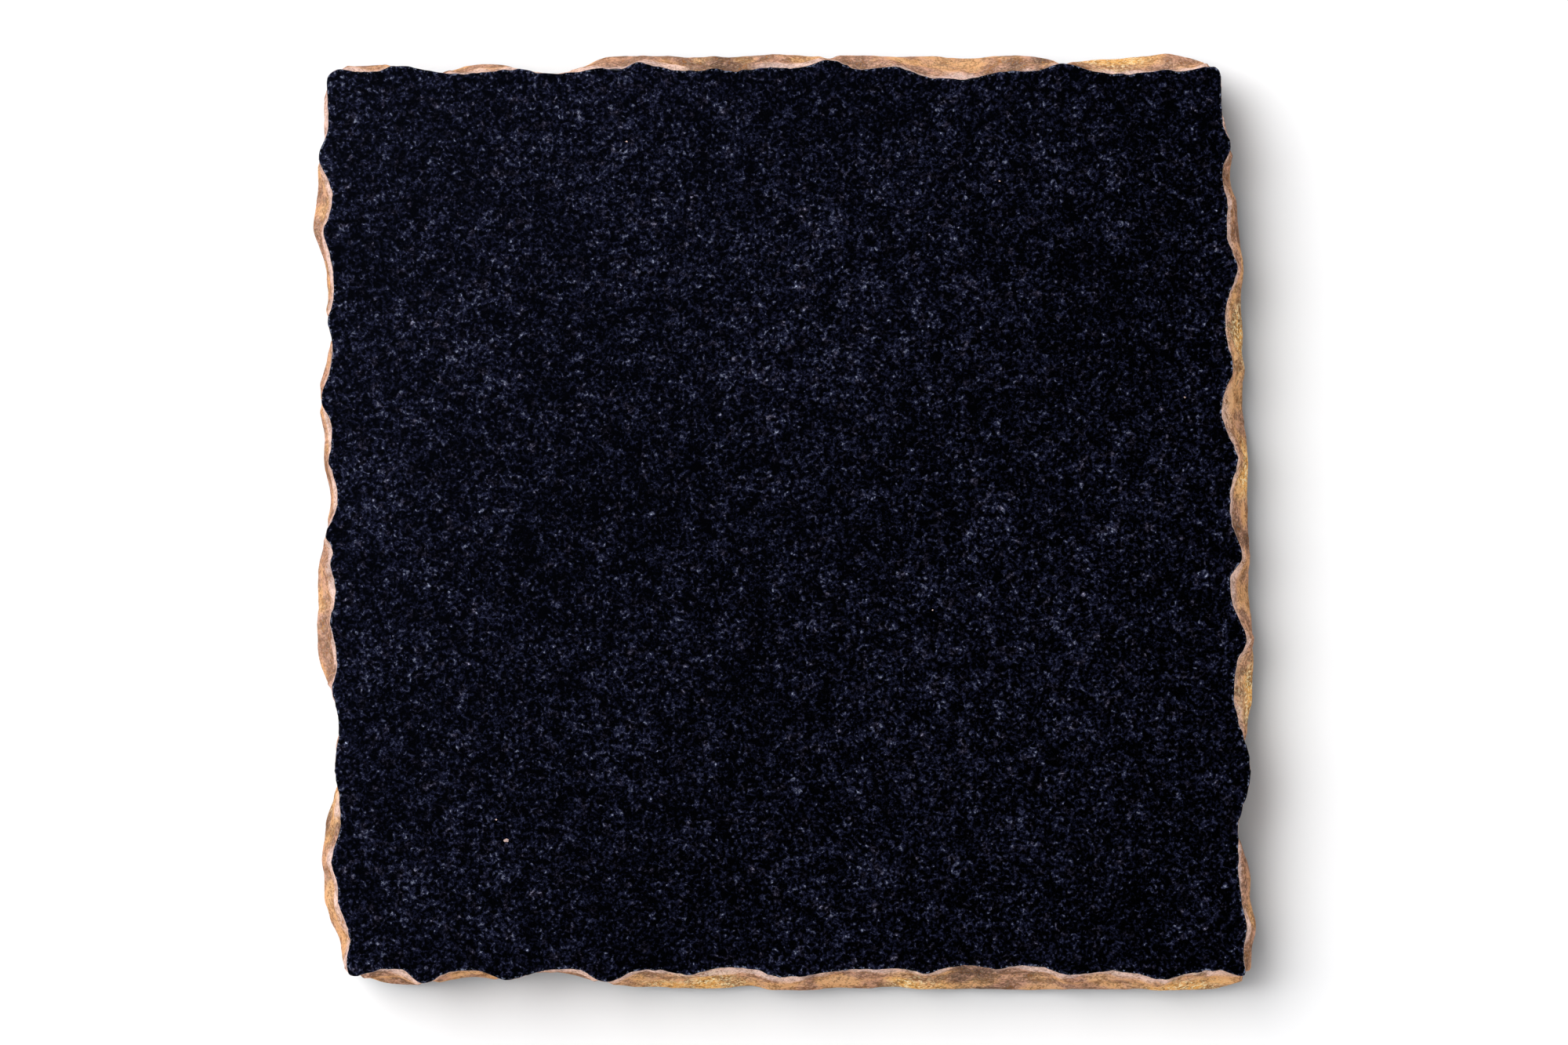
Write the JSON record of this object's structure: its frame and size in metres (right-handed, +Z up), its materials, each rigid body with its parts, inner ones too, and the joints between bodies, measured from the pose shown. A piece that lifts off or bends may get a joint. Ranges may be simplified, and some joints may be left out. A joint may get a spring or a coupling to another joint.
{
  "type": "granite slab",
  "caption": "Square slab of polished black granite with hand-chipped, gilded edges, on four rubber feet.",
  "frame": {"origin": "on the surface that the slab stands on, below the middle of the slab", "axes": "+Z up out of the polished face, +X to the right side, +Y to the far side"},
  "size_m": [0.1008, 0.1003, 0.0103],
  "materials": {
    "polished_granite": "polished",
    "gilding": "satin",
    "foot_rubber": "matte",
    "foot_adhesive": "matte"
  },
  "bodies": {
    "root": {"granite_slab": "polished_granite", "gilded_edge": "gilding", "foot_near_left": "foot_rubber", "foot_near_right": "foot_rubber", "foot_far_left": "foot_rubber", "foot_far_right": "foot_rubber", "foot_adhesive_near_left": "foot_adhesive", "foot_adhesive_near_right": "foot_adhesive", "foot_adhesive_far_left": "foot_adhesive", "foot_adhesive_far_right": "foot_adhesive"}
  },
  "joints": []
}
